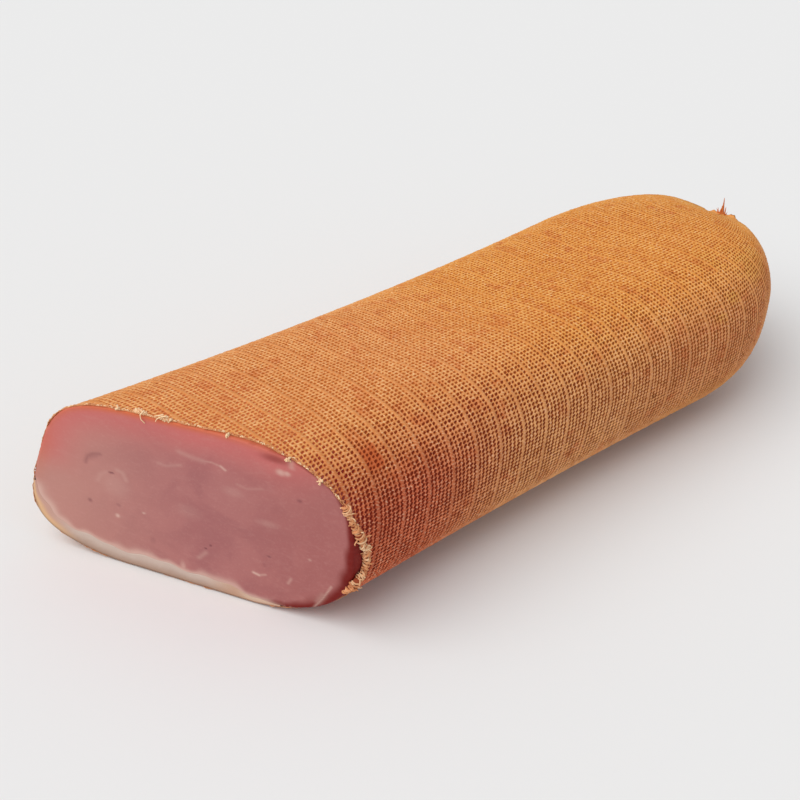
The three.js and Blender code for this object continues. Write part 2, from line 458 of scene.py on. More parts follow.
# Lean meat
lean = dict(
    inset=0.32,            # of the meat under the net's outer face
    swell=0.1,             # where it comes out of the net
    roundOver=0.5,         # of the knife's edge
    aroundSteps=480,
    faceSteps=104,
    sideSteps=52,
    domeSteps=20,
    sideEnd=1.96,
    rosyReach=10,          # how far the colours of the rim reach into the cut
    smokeReach=1.7,
    fatReach=1.7,
    cured=[                # dark strip at the lower right: place round the rim, reach
        (0.82, 0.3),
        (0.85, 2.6),
        (0.89, 4.2),
        (0.93, 4.2),
        (0.96, 3.7),
        (1.0, 2.8),
        (1.04, 1.4),
        (1.08, 0.3),
    ],
    curedLeast=0.31,       # a shorter reach leaves nothing
    curedWaver=0.12,
    curedSoftness=(0.1, 0.35),     # below and above the place where it softens
    curedSoftens=(0.9, 0.96),
    leftSmoke=0.35,
    fatPaleness=0.75,
    upperRise=(0.07, 0.16),    # upper part of the rim, from and to
    upperFall=(0.44, 0.5),
    leftPlace=(0.46, 0.045),
    topPlace=(0.3, 0.13),
)
marks = dict(               # on the cut, in millimetres across and up
    veins=[                 # course, half width, strength
        ([(-4.0, 58.0), (0.5, 57.1), (4.0, 57.0)], 1.1, 0.2),
        ([(3.0, 57.0), (6.5, 57.5), (9.5, 56.9)], 0.4, 0.28),
        ([(9.3, 57.0), (10.8, 55.9)], 0.4, 0.7),
        ([(-11.1, 50.4), (-8.3, 50.2), (-3.8, 52.4)], 0.7, 0.15),
        ([(14.5, 51.4), (17.5, 50.6), (22.3, 52.5)], 0.6, 0.13),
        ([(0.6, 13.2), (3.0, 16.6)], 0.8, 0.24),
        ([(18.8, 14.2), (20.6, 13.7)], 0.5, 0.8),
        ([(20.6, 13.7), (22.8, 14.8)], 0.4, 0.4),
        ([(30.1, 13.9), (31.1, 16.4)], 0.5, 0.35),
        ([(-32.0, 35.0), (-30.7, 38.1), (-28.9, 39.7)], 0.9, 0.16),
        ([(-25.1, 41.9), (-23.3, 41.4), (-22.4, 38.4)], 0.9, 0.22),
        ([(31.7, 65.0), (31.3, 69.0)], 0.9, 0.4),
        ([(38.3, 6.0), (39.6, 8.9)], 0.45, 0.3),
        ([(39.8, 9.4), (41.6, 13.4)], 1.1, 0.3),
        ([(38.6, 6.6), (41.3, 11.6), (44.2, 18.4)], 0.35, 0.5),
    ],
    blots=[                 # centre, half sizes, strength
        (-26.3, 21.4, 0.7, 0.9, 0.75),
        (-17.1, 26.3, 0.5, 0.5, 0.6),
        (28.3, 61.7, 1.5, 1.3, 0.6),
        (30.2, 61.9, 1.1, 1.0, 0.6),
        (31.0, 69.4, 1.1, 1.2, 0.6),
        (37.3, 27.7, 0.6, 0.5, 0.4),
        (-5.0, 5.8, 1.0, 3.4, 0.5),
        (24.0, 38.0, 3.4, 1.6, 0.16),
        (13.0, 47.5, 3.4, 2.0, 0.14),
        (-2.0, 33.0, 4.0, 3.0, 0.1),
        (-26.0, 35.0, 4.5, 5.2, 0.14),
        (25.6, 1.8, 0.5, 0.35, 0.5),
        (27.1, 2.2, 0.4, 0.3, 0.4),
        (28.8, 2.7, 0.5, 0.3, 0.5),
        (30.8, 3.3, 0.4, 0.3, 0.4),
    ],
    grooves=[
        ([(-35.5, 41.5), (-34.6, 44.3), (-32.8, 46.1), (-30.4, 46.8)], 0.7, 0.34),
        ([(-33.9, 44.4), (-31.8, 45.9)], 1.1, 0.28),
        ([(-27.6, 39.9), (-26.6, 40.1)], 0.35, 0.8),
    ],
    pits=[
        (34.1, 51.9, 0.75, 0.7, 0.5),
        (3.0, 18.4, 0.5, 0.4, 0.7),
        (4.7, 20.4, 0.45, 0.5, 0.65),
        (24.0, 23.4, 0.7, 0.4, 0.65),
        (-35.5, 24.7, 0.7, 0.9, 0.5),
        (-25.6, 26.4, 0.8, 0.7, 0.3),
        (-14.8, 15.0, 0.9, 1.6, 0.2),
        (22.4, 19.0, 0.5, 0.9, 0.2),
    ],
    wedge=[(26.6, 66.6, 4.6, 1.7, 0.55)],
)
fat = dict(
    start=0.5,
    end=0.86,
    fullest=0.62,
    thickness=6.4,
    fade=0.8,
    reach=1.5,
    wobble=0.5,
    leftSwell=2.2,         # powers of the swell towards its two ends
    rightSwell=3.6,
    trim=0.6,              # off the thickness all round, so that the ends run out
    gap=0.05,
    columns=200,
    frontRows=10,
    sideRows=44,
    domeRows=18,
)


def fatThickness(around, along):
    a = around % 1
    onLeft = a < fat["fullest"]
    side = np.where(onLeft, fat["fullest"] - fat["start"], fat["end"] - fat["fullest"])
    power = np.where(onLeft, fat["leftSwell"], fat["rightSwell"])
    swell = 1 - (np.abs(a - fat["fullest"]) / side) ** power
    fade = 1 - np.maximum(0, (along - fat["fade"]) / (fat["reach"] - fat["fade"])) ** 2
    wobble = fat["wobble"] * (np.sin(2 * np.pi * 13 * a + 0.6) + 0.7 * np.sin(2 * np.pi * 29 * a + 2.0))
    depth = fat["thickness"] * np.minimum(swell, fade) - fat["trim"]
    return np.maximum(depth + wobble * np.clip(depth / 2, 0, 1), 0)


def meatDepth(around, along):               # the meat swells a little where it comes out of the net
    inNet = ease(along, *(alongAt(around, netEdgeStation(around)) + np.array([[-0.004], [0.004]])))
    return lean["inset"] - lean["swell"] * (1 - inNet)


def strokes(x, z, courses):
    strongest = np.zeros_like(x)
    for course, width, strength in courses:
        for (x0, z0), (x1, z1) in zip(course, course[1:]):
            span = (x1 - x0) ** 2 + (z1 - z0) ** 2
            share = np.clip(((x - x0) * (x1 - x0) + (z - z0) * (z1 - z0)) / span, 0, 1)
            apart = np.hypot(x - mix(x0, x1, share), z - mix(z0, z1, share))
            strongest = np.maximum(strongest, strength * np.exp(-((apart / width) ** 2)))
    return strongest


def blots(x, z, spots):
    strongest = np.zeros_like(x)
    for centreX, centreZ, halfX, halfZ, strength in spots:
        away = ((x - centreX) / halfX) ** 2 + ((z - centreZ) / halfZ) ** 2
        strongest = np.maximum(strongest, strength * np.exp(-(away**1.5)))
    return strongest


def cutMarks(x, z, edge, around):           # what the cut shows at each point, 0 to 1
    apart = np.hypot(x[:, None] - edge[:, 0], z[:, None] - edge[:, 2])
    nearest = apart.argmin(1)
    rimAway = apart.min(1)
    rimAround = around[nearest]
    fatHere = np.clip(fatThickness(rimAround, np.zeros_like(rimAround)) / 1.5, 0, 1)
    ragged = 1 + 0.3 * np.sin(x / 4.7 + 0.9 * np.sin(x / 2.3)) + 0.1 * np.sin(x / 0.9)
    upper = ease(rimAround, *lean["upperRise"]) * (1 - ease(rimAround, *lean["upperFall"]))
    left = bell(rimAround, *lean["leftPlace"]) * (1 - fatHere)
    rosy = upper * np.exp(-((rimAway / lean["rosyReach"]) ** 2))
    top = upper * bell(rimAround, *lean["topPlace"])
    topSmoke = top * np.exp(-((rimAway / lean["smokeReach"]) ** 2))
    leftSmoke = lean["leftSmoke"] * left * np.exp(-((rimAway / (2 * lean["smokeReach"])) ** 2))
    smoke = np.maximum(topSmoke, leftSmoke)
    turned = (rimAround + 0.5) % 1 + 0.5
    reach = np.interp(turned, *zip(*lean["cured"]))
    reach = reach * (1 + lean["curedWaver"] * np.sin(z / 1.7 + 0.8 * np.sin(x / 1.1)))
    softness = mix(*lean["curedSoftness"], ease(turned, *lean["curedSoftens"]))
    cured = np.clip(reach / 1.2, 0, 1) * (1 - ease(rimAway, softness * reach, 1.25 * reach))
    cured = np.maximum(cured * (reach > lean["curedLeast"]), blots(x, z, marks["wedge"]))
    pale = np.maximum(strokes(x, z, marks["veins"]), blots(x, z, marks["blots"]))
    besideFat = fatHere * np.exp(-((rimAway / (lean["fatReach"] * ragged)) ** 2))
    pale = np.maximum(pale, lean["fatPaleness"] * besideFat)
    dark = np.maximum(strokes(x, z, marks["grooves"]), blots(x, z, marks["pits"]))
    return dict(rosy=rosy, smoke=smoke, cured=cured, pale=pale, dark=dark)


def faceRelief(x, z):                       # low waves that the knife left on the cut
    waves = 0.14 * np.sin(x / 9.3 + 0.4 * np.sin(z / 9.0)) * np.sin(z / 7.1 + 1.0)
    waves = waves + 0.04 * np.sin(x / 3.9 + z / 4.2) + 0.02 * np.sin(z / 1.9 - x / 5.5)
    return waves - 0.45 * strokes(x, z, marks["grooves"]) - 0.3 * blots(x, z, marks["pits"])


def makeLean(material):
    def depthAt(around, along):
        fatHere = fatThickness(around, along)
        return meatDepth(around, along) + fatHere + fat["gap"] * (fatHere > 0)

    count = lean["aroundSteps"]
    around = np.arange(count) / count
    zero = np.zeros(count)
    edge = under(around, zero, depthAt(around, zero))
    centre = np.array([[0.0, cutAt(0, loin["height"] / 2), loin["height"] / 2]])
    radii = np.hypot(edge[:, 0] - centre[0, 0], edge[:, 2] - centre[0, 2])
    roundOver = lean["roundOver"] * mix(1, 0.15, np.clip(fatThickness(around, zero), 0, 1))
    rings, shown = [], []
    for share in np.linspace(0, 1, lean["faceSteps"] + 1)[1:]:
        inner = share * (1 - roundOver / radii)
        x = mix(centre[0, 0], edge[:, 0], inner)
        z = mix(centre[0, 2], edge[:, 2], inner)
        rings.append(np.stack([x, cutAt(x, z) - faceRelief(x, z) * (1 - share**20), z], -1))
        shown.append(dict(cutMarks(x, z, edge, around), cut=np.ones(count)))
    rounded = edge.copy()
    rounded[:, 1] = cutAt(edge[:, 0], edge[:, 2]) + 0.45 * roundOver
    rings.append(rounded)
    shown.append(dict(cutMarks(edge[:, 0], edge[:, 2], edge, around), cut=np.full(count, 0.85)))
    faceRows = len(rings)
    stops = stopsAlong(lean["sideSteps"], lean["domeSteps"], lean["sideEnd"])
    rimShown = shown[-1]
    for number, stop in enumerate(stops):
        along = np.full(count, stop)
        rings.append(behindCut(under(around, along, depthAt(around, along)), 0.4 + 0.1 * number))
        shown.append(dict.fromkeys(rimShown, zero) if number else dict(rimShown, cut=np.full(count, 0.5)))
    tip = np.array([[loin["gatherX"], loin["tip"] - 2, loin["gatherZ"]]])
    points = np.concatenate([centre, *rings, tip])
    values = {}
    for name in shown[0]:
        first = 1.0 if name == "cut" else 0.0
        values[name] = np.concatenate([[first], *[row[name] for row in shown], [0.0]])

    columns = np.arange(count)
    after = (columns + 1) % count
    walls = gridFaces(len(rings), count, start=1, closed=True)
    fan = np.stack([zero.astype(int), 1 + after, 1 + columns], -1)
    lastRing = 1 + (len(rings) - 1) * count
    cap = np.stack([np.full(count, len(points) - 1), lastRing + columns, lastRing + after], -1)

    # The face takes the lower part of the map and the sides the upper part.
    rowsAt, columnsAt = gridCorners(len(rings), count + 1)
    low, high = points[:, [0, 2]].min(0), points[:, [0, 2]].max(0)
    scale = 0.96 / (high - low).max()

    def onFace(numbers):
        return (points[numbers][..., [0, 2]] - low) * scale + 0.01

    top = (high - low)[1] * scale + 0.03
    sideU = inMap(columnsAt / count)
    sideV = top + (0.98 - top) * (rowsAt - faceRows + 1) / (len(rings) - faceRows + 1)
    onSide = (rowsAt.max(1) >= faceRows)[:, None, None]
    wallMap = np.where(onSide, np.stack([sideU, sideV], -1), onFace(walls))
    capU = np.stack([columns + 0.5, columns, columns + 1], -1) / count
    capMap = np.stack([inMap(capU), np.tile([0.985, 0.98, 0.98], (count, 1))], -1)
    faces = [walls[:, ::-1], fan[:, ::-1], cap[:, ::-1]]
    maps = [wallMap[:, ::-1], onFace(fan[:, ::-1]), capMap[:, ::-1]]
    return makePiece("loin_meat", points, faces, {"OFBake": [m.reshape(-1, 2) for m in maps]}, values,
                     material, "lean", "lean_meat")


def leanFinish():
    look = Finish("curedPork")
    millimetres = look.millimetres()
    px, py = look.parts(millimetres)[:2]
    cloudy = look.noise(millimetres, 0.05, 3, 0.55, 0.6)
    fibres = look.noise(look.stretched(millimetres, (0.5, 0.3, 1.0)), 0.5, 4, 0.6, 0.5)
    fine = look.noise(millimetres, 1.1, 2, 0.6)
    colour = look.blend(cloudy.above(0.36, 0.64), tone(168, 107, 106), tone(178, 116, 113))
    colour = look.blend(px.above(6, -50) * 0.85, colour, tone(194, 140, 129))
    colour = look.blend(px.above(5, 46) * 0.5, colour, tone(170, 100, 95))
    colour = look.blend(look.given("rosy") * (0.7 + 0.5 * cloudy), colour, tone(204, 112, 108))
    colour = look.blend(fibres.above(0.5, 0.72) * 0.1, colour, tone(208, 156, 148))
    colour = look.blend(fine.above(0.5, 0.75) * 0.1, colour, tone(210, 160, 152))
    colour = look.blend(look.given("smoke") * 0.9, colour, tone(210, 108, 62))
    colour = look.blend(look.given("cured") * (0.85 + 0.3 * fibres), colour, tone(120, 32, 27))
    colour = look.blend(look.given("pale"), colour, tone(220, 184, 170))
    colour = look.blend(look.given("dark"), colour, tone(112, 62, 70))

    right = px.above(14, 44)
    far = py.above(-60, 60)
    netted = look.blend(right, tone(190, 100, 40), look.blend(far, tone(124, 40, 18), tone(146, 80, 30)))
    leftSide = px.above(-40, -50)
    bare = look.blend(leftSide, tone(208, 108, 62), tone(182, 108, 82))
    bare = look.blend(right, bare, look.blend(fine.above(0.55, 0.75), tone(132, 28, 26), tone(170, 64, 58)))
    colour = look.blend(look.given("cut"), look.blend(py.above(-120, -108), bare, netted), colour)
    roughness = 0.62 - 0.1 * look.given("cut") - 0.15 * look.given("cured")
    return look.surface({"Base Color": colour, "Roughness": roughness},
                        {"IOR": 1.4, "Specular IOR Level": 0.12}, bump=(fibres, 0.1, 0.0003))


# Fat cap
def makeFat(material):
    count = fat["columns"]
    around = np.linspace(fat["start"] + 0.012, fat["end"] - 0.012, count)
    stops = np.append(0.0, stopsAlong(fat["sideRows"], fat["domeRows"], fat["reach"] - 0.04))
    outer, inner = [], []
    for number, stop in enumerate(stops):
        along = np.full(count, stop)
        depth = meatDepth(around, along)
        thick = np.maximum(fatThickness(around, along), 0.05)
        outer.append(behindCut(under(around, along, depth), 0.1 * number))
        inner.append(behindCut(under(around, along, depth + thick), 0.1 * number))
    shares = np.linspace(0, 1, fat["frontRows"])
    front = [mix(inner[0], outer[0], s) for s in shares]
    for share, row in zip(shares, front):
        row[:, 1] = cutAt(row[:, 0], row[:, 2]) - 0.1 * np.sin(row[:, 0] / 3.1) * math.sin(math.pi * share)
    loop = np.stack(front + outer[1:] + inner[:0:-1])
    rows = len(loop)
    inward = np.zeros((rows, count))
    inward[: len(front)] = (1 - shares)[:, None]
    onCut = np.zeros((rows, count))
    onCut[: len(front)] = 1
    columns = np.arange(count - 1)
    lastRow = (rows - 1) * count
    closing = np.stack([lastRow + columns, lastRow + columns + 1, columns + 1, columns], -1)
    rowsAt, columnsAt = gridCorners(rows, count)
    bake = np.stack([inMap(columnsAt / (count - 1)), 0.01 + 0.95 * rowsAt / rows], -1)
    closingU = np.stack([columns, columns + 1, columns + 1, columns], -1) / (count - 1)
    closingV = np.tile([0.96, 0.96, 0.98, 0.98], (count - 1, 1))
    bakeClosing = np.stack([inMap(closingU), closingV], -1)
    return makePiece("loin_fat", loop.reshape(-1, 3), [gridFaces(rows, count), closing],
                     {"OFBake": [bake.reshape(-1, 2), bakeClosing.reshape(-1, 2)]},
                     dict(inward=inward, cut=onCut), material, "fat", "fat_cap")


def fatFinish():
    look = Finish("smokedFat")
    millimetres = look.millimetres()
    px = look.parts(millimetres)[0]
    inward = look.given("inward")
    cloudy = look.noise(millimetres, 0.25, 4, 0.6, 0.4)
    # Paler next to the lean and darker towards the outer edge: painted shade at the outer edge.
    colour = look.blend((inward + 0.35 * cloudy).above(0.3, 1.0), tone(176, 146, 128), tone(202, 180, 167))
    leftTone = look.blend(inward.above(0.2, 0.8), tone(232, 184, 134), tone(200, 150, 134))
    colour = look.blend(px.above(-38, -50) * 0.85, colour, leftTone)
    colour = look.blend(px.above(2, 14) * 0.7, colour, tone(198, 152, 122))
    brighter = px.above(13, 19) * px.above(29, 22) * inward.above(0.1, 0.5) * 0.7
    colour = look.blend(brighter, colour, tone(218, 190, 166))
    # A thin darker brown line along the outer edge: partly smoke, partly painted shade.
    colour = look.blend(inward.above(0.25, 0.0) * 0.6, colour, tone(146, 104, 78))
    colour = look.blend(look.given("cut"), tone(170, 112, 66), colour)
    return look.surface({"Base Color": colour}, {"Roughness": 0.45, "IOR": 1.4},
                        bump=(cloudy, 0.15, 0.0005))


threadShine = {"Roughness": 0.85, "Specular IOR Level": 0.08}


# Net: one knitted sheet with an open mesh, made in four lengths
net = dict(
    columns=195,
    bandSpacing=12.42,
    firstBand=-22.3,
    rowEdges=(0.45, 2.2, 4.1, 6.05, 8.1, 10.15, 11.95),    # six rows of holes after a band
    crossing=0.08,         # heights over the loin's skin
    threadMiddle=-0.06,
    lowThread=-0.13,       # deeper still: cross threads at the far top, long ones at the side
    band=0.09,
    holeEdge=-0.26,
    holeAcross=0.27,       # half sizes
    threadAcross=0.38,
    topHoles=0.86,         # size of the holes over the top beside those of the side
    slant=0.24,
    unevenness=0.26,
    heightNoise=0.07,
    straying=0.11,         # of threads and holes from their places
    lengths=dict(          # from band to band
        net_near=(-5, 3),
        net_middle=(3, 9),
        net_shoulder=(9, 16),
        net_end=(16, 27),
    ),
    closedFrom=0.34,       # share of the dome's width where the mesh has closed up
    lag=(0.8, 11.5),       # of the cross lines over the top, near and far
    lead=1.3,
    holeSizes=(0.5, 1.3),
    edgeHeight=-0.2,
    edgeReach=0.8,         # over which the net rises from its edge to its own height
    lastAlong=1.94,        # nearest the gather
    bandMiddle=0.05,       # height of a band between two crossings
    topRise=(34, 52),      # from where to where round the loin the top begins and ends
    topFall=(130, 150),
    farReach=(60, 180),
    sideFall=(14, 30),
    seed=12,
)


def netLines(firstBand, lastBand):          # the weave's cross lines, their heights, and if holes follow
    lines = []
    for band in range(firstBand, lastBand):
        centre = net["firstBand"] + band * net["bandSpacing"]
        lines.append((centre, net["band"], False))
        for rowEdge in net["rowEdges"]:
            lines.append((centre + rowEdge, net["crossing"], rowEdge != net["rowEdges"][-1]))
    lines.append((net["firstBand"] + lastBand * net["bandSpacing"], net["band"], False))
    return [np.array(values) for values in zip(*lines)]


# The cross lines lag over the top and lead at the right shoulder.
def rowWander(around, station):
    arc = (around % 1) * girth
    lag = mix(*net["lag"], ease(station, -5, 128)) * ease(arc, 36, 84) * (1 - ease(arc, 120, 235))
    lead = net["lead"] * ease(station, -10, 60) * roundBell(around, 24 / girth, 18 / girth)
    waves = 0.25 * np.sin(2 * np.pi * 5 * around + station / 17)
    waves = waves + 0.15 * np.sin(2 * np.pi * 11 * around - station / 9)
    return lead - lag * (1 - 0.5 * ease(station, 190, 270)) + waves


def netPlace(around, station, height):
    edge = netEdgeStation(around)
    y = np.maximum(station + rowWander(around, station), edge)
    along = np.minimum(alongAt(around, y), net["lastAlong"])
    height = mix(net["edgeHeight"], height, ease(y - edge, 0, net["edgeReach"]))
    return under(around, along, -height), y


def makeNetLength(name, firstBand, lastBand, material):
    stations, crowns, isOpen = netLines(firstBand, lastBand)
    draw = np.random.default_rng(net["seed"] + firstBand)
    columns = net["columns"]
    pitch = girth / columns
    lines = len(stations)
    rows = lines - 1

    # Every second point on a line is a crossing and the others lie half way along the thread.
    half = np.arange(2 * columns) / (2 * columns)
    inside = np.ones((lines, 1))
    inside[[0, -1]] = 0
    lineAround = np.tile(half, (lines, 1))
    lineStation = np.tile(stations[:, None], (1, 2 * columns))
    lineHeight = crowns[:, None] + np.zeros((1, 2 * columns))
    arc = half * girth
    top = ease(arc, *net["topRise"]) * (1 - ease(arc, *net["topFall"]))
    farTop = top[1::2] * ease(stations, *net["farReach"])[:, None]
    crossThread = net["threadMiddle"] + net["lowThread"] * farTop
    lineHeight[:, 1::2] = np.where(crowns[:, None] == net["crossing"], crossThread, net["bandMiddle"])
    lineHeight += draw.uniform(-net["heightNoise"], net["heightNoise"], lineHeight.shape)
    lineAround += draw.normal(0, net["straying"], lineAround.shape) / girth * inside
    lineStation += draw.normal(0, net["straying"], lineAround.shape) * inside
    lineHeight[[0, -1]] = net["band"]
    linePoints, lineY = netPlace(lineAround, lineStation, lineHeight)

    middles = (stations[:-1] + stations[1:]) / 2
    midAround = np.tile(half[::2], (rows, 1))
    midStation = np.tile(middles[:, None], (1, columns))
    low = net["lowThread"] * (1 - top[::2]) * (1 - ease(arc[::2], *net["sideFall"]))
    midNoise = draw.uniform(-net["heightNoise"], net["heightNoise"], midStation.shape)
    midHeight = net["threadMiddle"] + low + midNoise
    midPoints, _ = netPlace(midAround, midStation, midHeight)

    closing = np.interp(np.clip(middles - shoulder, 0, None), domeLength, domeClosing)
    size = 1 + net["unevenness"] * draw.standard_normal((rows, columns))
    size = np.clip(size, *net["holeSizes"]) * np.clip(closing * 1.6 - 0.35, 0.05, 1)[:, None]
    size *= mix(1, net["topHoles"], top[::2])
    turns = np.radians([225, 270, 315, 0, 45, 90, 135, 180])
    squarish = np.where(np.abs(np.sin(2 * turns)) > 0.5, 1.12, 1.0)
    halfRows = (stations[1:] - stations[:-1]) / 2 - net["threadAcross"]
    short = (halfRows < 0.6)[:, None]       # the row before each band has short wide holes
    along = np.sin(turns) * squarish * np.maximum(halfRows, 0.1)[:, None]
    across = np.cos(turns) * squarish * np.where(short, 1.25, 1) * net["holeAcross"]
    across = across + net["slant"] * np.sin(turns)
    column = np.arange(columns)
    stray = draw.normal(0, net["straying"], (2, rows, columns, 1))
    fromMiddle = (across[:, None] * size[..., None] + stray[0]) / pitch
    holeAround = (column[None, :, None] + 0.5 + fromMiddle) / columns
    holeStation = middles[:, None, None] + along[:, None] * size[..., None] + stray[1]
    holeHeight = np.full(holeStation.shape, net["holeEdge"])
    holePoints, _ = netPlace(holeAround, holeStation, holeHeight)

    points = np.concatenate([part.reshape(-1, 3) for part in (linePoints, midPoints, holePoints)])
    depth = np.concatenate([lineHeight.ravel(), midHeight.ravel(), holeHeight.ravel()])
    firstMid = lines * 2 * columns
    firstHole = firstMid + rows * columns

    def lineAt(r, halfColumn):
        return r * 2 * columns + halfColumn % (2 * columns)

    def midAt(r, c):
        return firstMid + r * columns + c % columns

    row, col = np.meshgrid(np.arange(rows), column, indexing="ij")
    edge = netEdgeStation(lineAround[1:, ::2])
    shown = lineY[1:, ::2] > edge + 0.02
    shown = shown | np.roll(shown, -1, 1)
    holed = isOpen[:-1, None].astype(bool) & shown & (closing > net["closedFrom"])[:, None]
    plain = shown & ~holed
    r, c = row[holed], col[holed]
    ring = [lineAt(r, 2 * c), lineAt(r, 2 * c + 1), lineAt(r, 2 * c + 2), midAt(r, c + 1)]
    ring += [lineAt(r + 1, 2 * c + 2), lineAt(r + 1, 2 * c + 1), lineAt(r + 1, 2 * c), midAt(r, c)]
    hole = [firstHole + (r * columns + c) * 8 + k for k in range(8)]
    sides = [np.stack([ring[k], ring[(k + 1) % 8], hole[(k + 1) % 8], hole[k]], -1) for k in range(8)]
    meshFaces = np.stack(sides, 1).reshape(-1, 4)
    r, c = np.repeat(row[plain], 2), (2 * col[plain][:, None] + np.array([0, 1])).ravel()
    plainFaces = np.stack([lineAt(r, c), lineAt(r, c + 1), lineAt(r + 1, c + 1), lineAt(r + 1, c)], -1)

    # Both maps run round from a seam under the loin.
    seam = 0.75 * columns
    spotColumn = np.concatenate([lineAround.ravel(), midAround.ravel(), holeAround.ravel()]) * columns
    spotStation = np.concatenate([lineStation.ravel(), midStation.ravel(), holeStation.ravel()])
    weave, bake = [], []
    for numbers, cell in ((meshFaces, np.repeat(col[holed], 8)), (plainFaces, c / 2)):
        fromCell = (spotColumn[numbers] - cell[:, None] + 0.5) % columns - 0.5
        u = ((cell - seam) % columns)[:, None] + fromCell
        v = spotStation[numbers]
        weave.append(np.stack([(u / columns - 0.25) * girth / 100, v / 100], -1).reshape(-1, 2))
        bakeV = inMap((v - stations[0]) / (stations[-1] - stations[0]))
        bake.append(np.stack([0.008 + 0.98 * u / columns, bakeV], -1).reshape(-1, 2))
    maps = {"OFBake": bake, "weave": weave}
    return makePiece(name, points, [meshFaces, plainFaces], maps, {"height": depth},
                     material, "netting", "net_casing")


stains = [                  # distance round from the right side, station, half sizes, strength
    (28.8, -6.0, 4.3, 4.2, 1.0),
    (36.5, -6.5, 4.4, 3.6, 0.45),
    (33.5, 21.5, 1.8, 3.6, 0.5),
    (30.0, 47.0, 2.0, 2.6, 0.45),
    (56.0, 69.0, 3.4, 1.8, 0.4),
    (57.0, 95.0, 1.9, 3.4, 0.4),
    (37.0, 121.0, 3.5, 2.6, 0.4),
    (27.5, 145.0, 6.0, 3.5, 0.35),
]


golden = [                  # the same, where the net is yellower
    (31.0, 224.0, 9.0, 15.0, 0.8),
    (24.5, 198.0, 3.2, 6.0, 1.0),
    (19.5, 186.0, 2.6, 5.0, 0.8),
    (43.0, 203.0, 7.0, 9.0, 0.5),
    (-20.0, 185.0, 14.0, 40.0, 0.5),
]


def netFinish():
    look = Finish("smokedNet")
    across, along = look.parts(look.node("ShaderNodeUVMap", {"uv_map": "weave"}))[:2]
    arc = across * 100
    station = along * 100
    height = look.given("height")
    # Crown is 0 at the hole edges and 1 on the threads' tops.
    crown = height.above(-0.24, -0.07)
    spread = look.shape(arc, station)
    cloudy = look.noise(spread, 0.05, 3, 0.6)
    patchy = look.noise(spread, 0.28, 3, 0.65, 0.3)
    strands = look.noise(look.shape(arc * 1.9 + station * 0.7, station * 0.75), 1.0, 3, 0.7)
    speckle = look.noise(spread, 1.5, 2, 0.6)
    side = arc.above(42, 11)
    near = station.above(78, 6)
    far = station.above(40, 130)
    band = (station - net["firstBand"]) / net["bandSpacing"] + 0.5
    block = band.floored()
    inBlock = band - block
    onBand = inBlock.above(0.42, 0.46) * inBlock.above(0.58, 0.54)

    thread = look.blend(far, tone(237, 168, 104), tone(239, 172, 89))
    sideThread = look.blend(near, tone(252, 186, 122), tone(230, 122, 82))
    thread = look.blend(side, thread, sideThread)
    gap = look.blend(far, tone(200, 112, 54), tone(206, 118, 46))
    sideGap = look.blend(near, tone(164, 84, 38), tone(132, 38, 20))
    gap = look.blend(side, gap, sideGap)
    darker = look.blend(side, tone(216, 130, 60), sideGap)
    strandHighlight = look.blend(side, tone(252, 214, 164), tone(250, 200, 166))
    thread = look.blend(patchy.above(0.45, 0.7) * 0.35, thread, darker)
    # Painted highlights along the strands, and painted shade between them in the next line.
    thread = look.blend(strands.above(0.5, 0.66) * 0.8, thread, strandHighlight)
    thread = look.blend(strands.above(0.47, 0.33) * 0.6, thread, gap)
    # Threads turn to the gap colour down towards the hole edges: partly stain gathered in the recesses,
    # partly painted shade.
    colour = look.blend(crown, gap, thread)
    colour = look.blend(speckle.above(0.5, 0.7) * 0.15, colour, gap)

    yellow = 0.0
    for centre, at, halfArc, halfStation, strength in golden:
        apart = (((arc - centre) / halfArc) ** 2.0 + ((station - at) / halfStation) ** 2.0) ** 0.5
        patch = (apart + patchy - 0.5).above(1.2, 0.5) * strength
        yellow = patch.larger(yellow)
    colour = look.blend(yellow * crown * 0.7, colour, tone(232, 178, 92))
    reddish = station.above(120, 170) * side * patchy.above(0.62, 0.5) * 0.35
    colour = look.blend(reddish, colour, tone(196, 106, 66))

    # Stains fill stretches between two bands.
    stretch = look.noise(look.shape(arc * 0.11, (block + (band - 0.5).floored()) * 3.7), 1.0, 2, 0.5)
    stain = stretch.above(0.53, 0.64) * 0.5 * (1 - 0.6 * onBand) * patchy.above(0.35, 0.6)
    for centre, at, halfArc, halfStation, strength in stains:
        apart = ((arc - centre) / halfArc).size().larger(((station - at) / halfStation).size())
        stain = stain.larger((apart + patchy - 0.5).above(1.15, 0.8) * strength * (1 - 0.5 * onBand))
    # Stains are darker down towards the hole edges as well: painted shade over the real stain.
    stained = look.blend(crown, tone(168, 70, 34), tone(208, 96, 52))
    colour = look.blend(stain * 0.8, colour, stained)
    colour = look.blend(onBand * (0.85 - 0.25 * side), colour, look.blend(0.5, gap, thread))
    colour = look.blend(cloudy.above(0.4, 0.65) * 0.2, colour, gap)
    return look.surface({"Base Color": colour}, threadShine, bump=(strands, 0.25, 0.0002))


